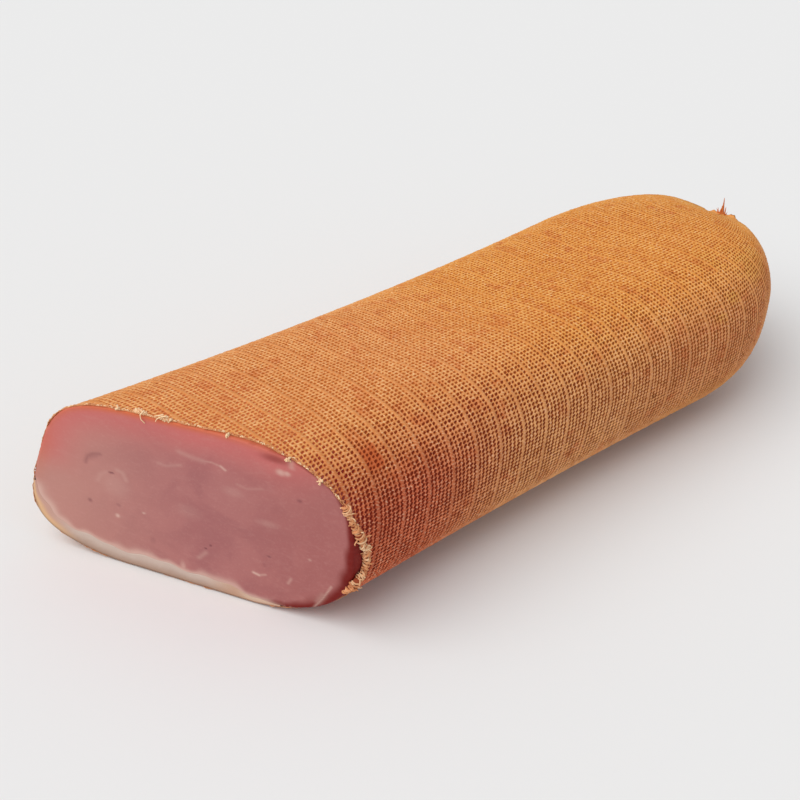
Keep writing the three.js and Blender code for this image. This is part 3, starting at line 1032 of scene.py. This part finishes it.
# Loose yarns
class Yarns:                                # short tubes that become one piece
    def __init__(self, sides=6):
        self.sides = sides
        self.tubes = []

    def add(self, course, radii, paleness):
        course = np.asarray(course, float)
        ahead = np.gradient(course, axis=0)
        ahead /= np.maximum(np.linalg.norm(ahead, axis=1, keepdims=True), 1e-9)
        beside = np.cross(ahead, np.eye(3)[np.abs(ahead.mean(0)).argmin()])
        beside /= np.maximum(np.linalg.norm(beside, axis=1, keepdims=True), 1e-9)
        upright = np.cross(beside, ahead)
        turn = 2 * np.pi * np.arange(self.sides) / self.sides
        radii = np.broadcast_to(radii, len(course))[:, None, None]
        ring = beside[:, None] * np.cos(turn)[:, None] + upright[:, None] * np.sin(turn)[:, None]
        points = (course[:, None] + radii * ring).reshape(-1, 3)
        self.tubes.append((np.concatenate([points, course[[0, -1]]]), len(course), paleness))

    def piece(self, name, material, *nodes):
        cells = math.ceil(math.sqrt(len(self.tubes)))
        quads, ends, quadMaps, endMaps, points, paleness = [], [], [], [], [], []
        first = 0
        for index, (tube, length, pale) in enumerate(self.tubes):
            corner = np.array([index % cells, index // cells])
            faces = gridFaces(length, self.sides, first, closed=True)
            rowsAt, columnsAt = gridCorners(length, self.sides + 1)
            places = np.stack([rowsAt / (length - 1), columnsAt / self.sides], -1)
            quads.append(faces)
            quadMaps.append(((corner + 0.08 + 0.84 * places) / cells).reshape(-1, 2))
            side = np.arange(self.sides)
            after = (side + 1) % self.sides
            last = first + (length - 1) * self.sides
            tip = first + length * self.sides
            ends.append(np.stack([np.full(self.sides, tip), first + after, first + side], -1))
            ends.append(np.stack([np.full(self.sides, tip + 1), last + side, last + after], -1))
            for place in (0.02, 0.98):
                flat = np.stack([[place, 0.5], [place, 0.4], [place, 0.6]])
                endMaps.append(((corner + np.tile(flat, (self.sides, 1))) / cells))
            points.append(tube)
            paleness.append(np.full(len(tube), pale))
            first += len(tube)
        maps = {"OFBake": [*quadMaps, *endMaps]}
        values = {"paleness": np.concatenate(paleness)}
        faces = [np.concatenate(quads), np.concatenate(ends)]
        return makePiece(name, np.concatenate(points), faces, maps, values, material, "netting", *nodes)


roll = dict(                # the rolled, frayed edge at the right of the cut
    course=[                # place round the loin, station, height over the skin, radius
        (0.0675, -25.0, 0.6, 0.7),
        (0.0625, -24.5, 0.9, 1.3),
        (0.0565, -24.0, 0.7, 1.1),
        (0.0515, -23.5, 0.5, 0.45),
        (0.0445, -22.8, 0.7, 0.8),
        (0.0375, -21.9, 0.9, 1.2),
        (0.0275, -20.3, 1.1, 1.65),
        (0.0185, -18.8, 0.9, 1.1),
        (0.0135, -18.0, 0.6, 0.6),
        (0.0065, -17.0, 0.9, 1.25),
        (-0.0035, -15.9, 0.9, 1.3),
        (-0.0155, -15.3, 0.8, 1.15),
        (-0.0265, -15.6, 0.8, 1.05),
        (-0.0325, -16.9, 0.9, 1.3),
        (-0.0385, -18.9, 1.0, 1.5),
        (-0.0445, -20.7, 0.9, 1.45),
        (-0.0495, -22.3, 0.5, 0.6),
    ],
    core=0.72,              # share of the roll's radius
    windings=76,
    strays=34,
    yarn=0.33,
    seed=5,
)
frays = dict(
    count=300,
    span=(0.062, 0.45),    # round the loin
    hemSpan=(0.05, 0.93),
    hemSteps=900,
    yarn=0.18,
    wispYarn=0.22,
    reach=0.5,
    seed=21,
)
wisps = [                   # across and up on the cut, height before it
    [(-14.2, 71.2, 0.1), (-15.2, 69.4, 0.7), (-15.0, 67.6, 0.8), (-14.0, 66.2, 0.5)],
    [(-7.0, 71.6, 0.1), (-8.6, 70.9, 0.7), (-9.8, 69.6, 0.9), (-10.4, 68.2, 0.6)],
    [(-8.0, 71.8, 0.2), (-9.2, 71.2, 0.8), (-10.6, 70.4, 0.6)],
]
# Place round the loin, distance from the cut, half length, half height, yarns
clumps = [
    (0.303, 1.1, 2.0, 0.6, 46),
    (0.271, 0.2, 1.5, 0.7, 34),
    (0.325, 0.5, 0.9, 0.3, 12),
    (0.206, 0.2, 0.4, 0.2, 5),
    (0.14, -0.1, 0.5, 0.2, 12),
    (0.101, 0.1, 0.5, 0.2, 8),
]


# A place on the skin with its normal and the ways round and along
def skinPlace(around, station):
    along = alongAt(around, station)
    normal = skinNormal(around, along)
    roundWay = skin(around + 0.002, along) - skin(around - 0.002, along)
    roundWay /= np.linalg.norm(roundWay, axis=-1, keepdims=True)
    return skin(around, along), normal, roundWay, np.cross(normal, roundWay)


def throughKnots(knots, steps):             # straight from knot to knot, steps from 0 to 1
    places = np.linspace(0, 1, len(knots))
    return np.stack([np.interp(steps, places, column) for column in knots.T], -1)


def makeRoll(material):
    draw = np.random.default_rng(roll["seed"])
    steps = np.linspace(0, 1, 160)
    course = throughKnots(np.array(roll["course"]), steps)
    spot, normal = skinPlace(course[:, 0], course[:, 1])[:2]
    centre = spot + normal * course[:, 2:3]
    core = Yarns(sides=16)
    lumps = 1 + 0.12 * np.sin(90 * steps) + 0.1 * np.sin(37 * steps + 1)
    # The core tube takes paleness 0, the darkest yarn colour: painted shade in the gaps between the
    # windings.
    core.add(centre, course[:, 3] * roll["core"] * lumps, 0.0)
    ahead = np.gradient(centre, axis=0)
    ahead /= np.linalg.norm(ahead, axis=1, keepdims=True)
    sideways = np.cross(ahead, normal)
    for number in range(roll["windings"]):
        at = int((number + draw.uniform(0, 1)) / roll["windings"] * (len(steps) - 1))
        turn = np.linspace(draw.uniform(-0.9, -0.2), draw.uniform(3.3, 4.0), 11)
        radius = course[at, 3] * draw.uniform(0.75, 1.2)
        radius = radius * (1 + 0.12 * np.sin(2 * turn + draw.uniform(0, 6)))
        sway = draw.normal(0, 0.8)
        circle = np.cos(turn)[:, None] * sideways[at] + np.sin(turn)[:, None] * normal[at]
        loop = centre[at] + radius[:, None] * circle
        loop += ahead[at] * (sway * np.cos(turn + draw.uniform(-0.5, 0.5)))[:, None]
        core.add(loop, roll["yarn"] * draw.uniform(0.6, 1.3), draw.uniform(0.25, 0.85))
    for number in range(roll["strays"]):
        at = int(draw.uniform(0, 1) * (len(steps) - 1))
        start = draw.uniform(-0.4, 3.4)
        away = math.cos(start) * sideways[at] + math.sin(start) * normal[at]
        base = centre[at] + course[at, 3] * 0.9 * away
        drift = draw.normal(0, 0.8, 3)
        share = np.linspace(0, 1, 7)[:, None]
        stray = base + away * np.sin(share * 2.6) * draw.uniform(0.4, 1.1) + drift * share
        radii = roll["yarn"] * draw.uniform(0.5, 0.9) * np.linspace(1, 0.6, 7)
        core.add(stray, radii, draw.uniform(0.5, 1.0))
    return core.piece("net_roll", material, "net_casing")


def makeFrays(material):
    draw = np.random.default_rng(frays["seed"])
    yarns = Yarns(sides=5)
    hem = np.linspace(*frays["hemSpan"], frays["hemSteps"])

    def overHem(values):
        return np.interp(hem, np.linspace(*frays["hemSpan"], len(values)), values)

    wander = overHem(draw.normal(0, 0.12, 240))
    spot, normal = skinPlace(hem, netEdgeStation(hem) + 0.05 + wander)[:2]
    lift = overHem(draw.uniform(-0.15, 0.02, 300))
    thick = overHem(draw.uniform(0.7, 1.4, 300))
    yarns.add(spot + normal * lift[:, None], frays["yarn"] * 0.75 * thick, 0.35)
    for number in range(frays["count"]):
        around = mix(*frays["span"], (number + draw.uniform(0, 1)) / frays["count"])
        station = netEdgeStation(around) + draw.uniform(-0.1, 0.5)
        spot, normal, roundWay, lengthWay = skinPlace(around, station)
        share = np.linspace(0, 1, 7)[:, None]
        reach = frays["reach"] * draw.uniform(0.3, 1.5)
        course = spot - lengthWay * np.sin(share * 3.0) * reach * draw.choice([1, 1, 0.4])
        course = course + roundWay * (share - 0.5) * draw.uniform(-1.3, 1.3)
        course = course + normal * (np.sin(share * 3.1) * draw.uniform(0.05, 0.4) - 0.08)
        yarns.add(course, frays["yarn"] * draw.uniform(0.6, 1.25), draw.choice([0.3, 0.5, 0.6, 0.95]))
    for wisp in wisps:
        x, z, before = np.array(wisp).T
        knots = np.stack([x, cutAt(x, z) - before, z], -1)
        course = throughKnots(knots, np.linspace(0, 1, 12))
        yarns.add(course, frays["wispYarn"] * np.linspace(1.1, 0.6, 12), 1.0)
    for around, back, halfLength, halfHeight, number in clumps:
        station = cutStation(np.array(around)) + back
        centre, normal, roundWay, lengthWay = skinPlace(around, station)
        for strand in range(number):
            place = centre + roundWay * draw.normal(0, 0.5) * halfLength + lengthWay * draw.normal(0, 0.3)
            place = place + normal * draw.uniform(0.1, 1.0) * halfHeight
            bend = draw.normal(0, 0.25, 3)
            share = np.linspace(-1, 1, 6)[:, None]
            course = place + draw.normal(0, 0.28, 3) * share + bend * share**2
            yarns.add(course, frays["yarn"] * draw.uniform(1.0, 1.9), draw.uniform(0.7, 1.0))
    return yarns.piece("net_frays", material, "net_casing")


gather = dict(              # the puckered end of the net with its yarn ends
    halfLength=8.5,
    halfThickness=2.0,
    middle=(-0.6, 49.0),   # across and up, at the rim
    pinch=0.8,
    length=4.2,
    tilt=-0.12,
    folds=7,
    foldDepth=0.12,
    fineFolds=23,
    lumps=[(0.8, 2.4, 2.3), (7.0, 1.7, 1.5)],      # place across, half width, height
    ends=70,
    yarn=0.24,
    spikes=[                # foot and tip across, up; foot's radius
        ((-6.6, 50.0), (-3.0, 50.9), 1.0),
        ((-4.3, 50.6), (-5.6, 58.8), 0.75),
        ((-3.7, 50.8), (-3.7, 54.8), 0.6),
        ((-5.3, 50.4), (-6.0, 55.0), 0.7),
        ((-6.2, 50.1), (-8.3, 52.5), 0.55),
        ((-6.0, 50.2), (-7.7, 53.4), 0.35),
        ((-3.2, 50.9), (-2.4, 53.3), 0.35),
    ],
    spikeStation=267.0,
    rings=[                # share of the ruffle's length, growth, distance back
        (0, 1.6, 3.6),
        (0, 1.3, 1.9),
        (0.08, 1.0, 0.4),
        (0.3, 1.0, 0),
        (0.6, 1.0, 0),
        (0.85, 1.02, 0),
        (1, 1.0, 0),
        (1, 0.8, 0.4),
        (0.9, 0.5, 0.8),
        (0.8, 0.15, 0.8),
    ],
    seed=8,
)


def ruffleRing(share, grow=1.0):
    turn = 2 * np.pi * np.arange(280) / 280
    middleX, middleZ = gather["middle"]
    spread = mix(gather["pinch"], 1, share) * grow
    fold = 1 + gather["foldDepth"] * share * np.cos(gather["folds"] * turn)
    fold = fold + 0.05 * np.cos(gather["fineFolds"] * turn + 1.3)
    sideways = gather["halfLength"] * spread * fold * np.cos(turn)
    upward = gather["halfThickness"] * spread * fold * np.sin(turn)
    x = mix(loin["gatherX"], middleX, 0.5 + 0.5 * share) + sideways
    for across, halfWidth, height in gather["lumps"]:
        upward = upward + height * share * bell(x, across, halfWidth) * np.clip(np.sin(turn), 0, 1)
    y = loin["tip"] + gather["length"] * share + 0.25 * np.cos(gather["fineFolds"] * turn) * share
    z = middleZ + gather["tilt"] * (x - middleX) + upward
    return np.stack([x, y, z], -1)


def makeGather(material):
    draw = np.random.default_rng(gather["seed"])
    rings = [ruffleRing(share, grow) - np.array([0, back, 0]) for share, grow, back in gather["rings"]]
    count = len(rings[0])
    points = np.concatenate(rings)
    rowsAt, columnsAt = gridCorners(len(rings), count + 1)
    bake = inMap(np.stack([columnsAt / count, rowsAt / (len(rings) - 1)], -1))
    paleness = np.repeat(0.9 - 0.3 * np.arange(len(rings)) / len(rings), count)
    faces = [gridFaces(len(rings), count, closed=True)]
    makePiece("net_ruffle", points, faces, {"OFBake": [bake.reshape(-1, 2)]},
              {"paleness": paleness}, material, "netting", "net_casing")
    yarns = Yarns(sides=5)
    rim = ruffleRing(1.0)
    middle = rim.mean(0)
    for number in range(gather["ends"]):
        start = rim[int(draw.uniform(0.46, 1.04) * count) % count]
        outward = (start - middle) / np.linalg.norm(start - middle)
        away = outward * draw.uniform(0.2, 0.7) + np.array([0, draw.uniform(0.3, 1.2), 0])
        away = away + draw.normal(0, 0.2, 3)
        share = np.linspace(0, 1, 6)[:, None]
        course = start - outward * 0.3 + away * share * draw.uniform(0.4, 1.2)
        course = course + draw.normal(0, 0.2, 3) * share**2
        radii = gather["yarn"] * draw.uniform(0.7, 1.3) * np.linspace(1, 0.7, 6)
        yarns.add(course, radii, draw.uniform(0.3, 0.9))
    for (footX, footZ), (tipX, tipZ), radius in gather["spikes"]:
        share = np.linspace(0, 1, 9)[:, None]
        foot = np.array([footX, gather["spikeStation"] - 0.8, footZ])
        tip = np.array([tipX, gather["spikeStation"], tipZ])
        course = mix(foot, tip, share) + 0.15 * np.sin(share * 5 + tipX) * draw.normal(0, 1, 3)
        yarns.add(course, radius * np.linspace(1, 0.15, 9), 0.25)
    return yarns.piece("net_tuft", material, "net_casing")


def yarnFinish():
    look = Finish("looseYarn")
    millimetres = look.millimetres()
    py = look.parts(millimetres)[1]
    pale = look.given("paleness")
    fine = look.noise(millimetres, 1.6, 3, 0.7)
    end = py.above(120, 150)
    lightness = pale + 0.5 * fine - 0.25
    dark = look.blend(end, tone(150, 70, 44), tone(190, 90, 52))
    middling = look.blend(end, tone(222, 154, 106), tone(222, 146, 78))
    light = look.blend(end, tone(250, 216, 174), tone(232, 166, 96))
    colour = look.blend(lightness.above(0.0, 0.5), dark, middling)
    colour = look.blend(lightness.above(0.5, 1.0), colour, light)
    colour = look.blend(fine.above(0.56, 0.74) * 0.3, colour, dark)
    return look.surface({"Base Color": colour}, threadShine, bump=(fine, 0.3, 0.0002))


# Floor and lights
studio = dict(
    floorTone=tone(236, 236, 236),
    worldStrength=0.52,
    keyStrength=1.95,
    keyFrom=(-0.15, -0.62, 0.77),
    keySoftness=60,        # degrees
    floorReach=12,         # metres each way
    floorBelow=0.0004,
)


def makeStudio():
    look = Finish("paleFloor")
    grain = look.noise(look.node("ShaderNodeTexCoord", output=3), 40, 2)
    look.surface({"Base Color": look.blend(grain * 0.02, studio["floorTone"], tone(228, 228, 228))},
                 {"Roughness": 0.9, "Specular IOR Level": 0.1})
    mesh = bpy.data.meshes.new("floor")
    reach = studio["floorReach"]
    corners = [(-reach, -reach, 0), (reach, -reach, 0), (reach, reach, 0), (-reach, reach, 0)]
    mesh.from_pydata(corners, [], [(0, 1, 2, 3)])
    floor = bpy.data.objects.new("floor", mesh)
    floor.location.z = -studio["floorBelow"]
    floor.data.materials.append(look.material)
    bpy.context.scene.collection.objects.link(floor)
    world = bpy.data.worlds.new("studioWorld")
    world.use_nodes = True
    sky = world.node_tree.nodes["Background"].inputs
    sky["Color"].default_value = (1, 1, 1, 1)
    sky["Strength"].default_value = studio["worldStrength"]
    bpy.context.scene.world = world
    sun = bpy.data.lights.new("softKey", "SUN")
    sun.energy = studio["keyStrength"]
    sun.angle = math.radians(studio["keySoftness"])
    lamp = bpy.data.objects.new("softKey", sun)
    lamp.rotation_mode = "QUATERNION"
    lamp.rotation_quaternion = Vector(studio["keyFrom"]).to_track_quat("Z", "Y")
    bpy.context.scene.collection.objects.link(lamp)
    bpy.context.scene.view_settings.view_transform = "Standard"


makeLean(leanFinish())
makeFat(fatFinish())
netLook = netFinish()
for netName, bands in net["lengths"].items():
    makeNetLength(netName, *bands, netLook)
yarnLook = yarnFinish()
makeRoll(yarnLook)
makeFrays(yarnLook)
makeGather(yarnLook)
makeStudio()
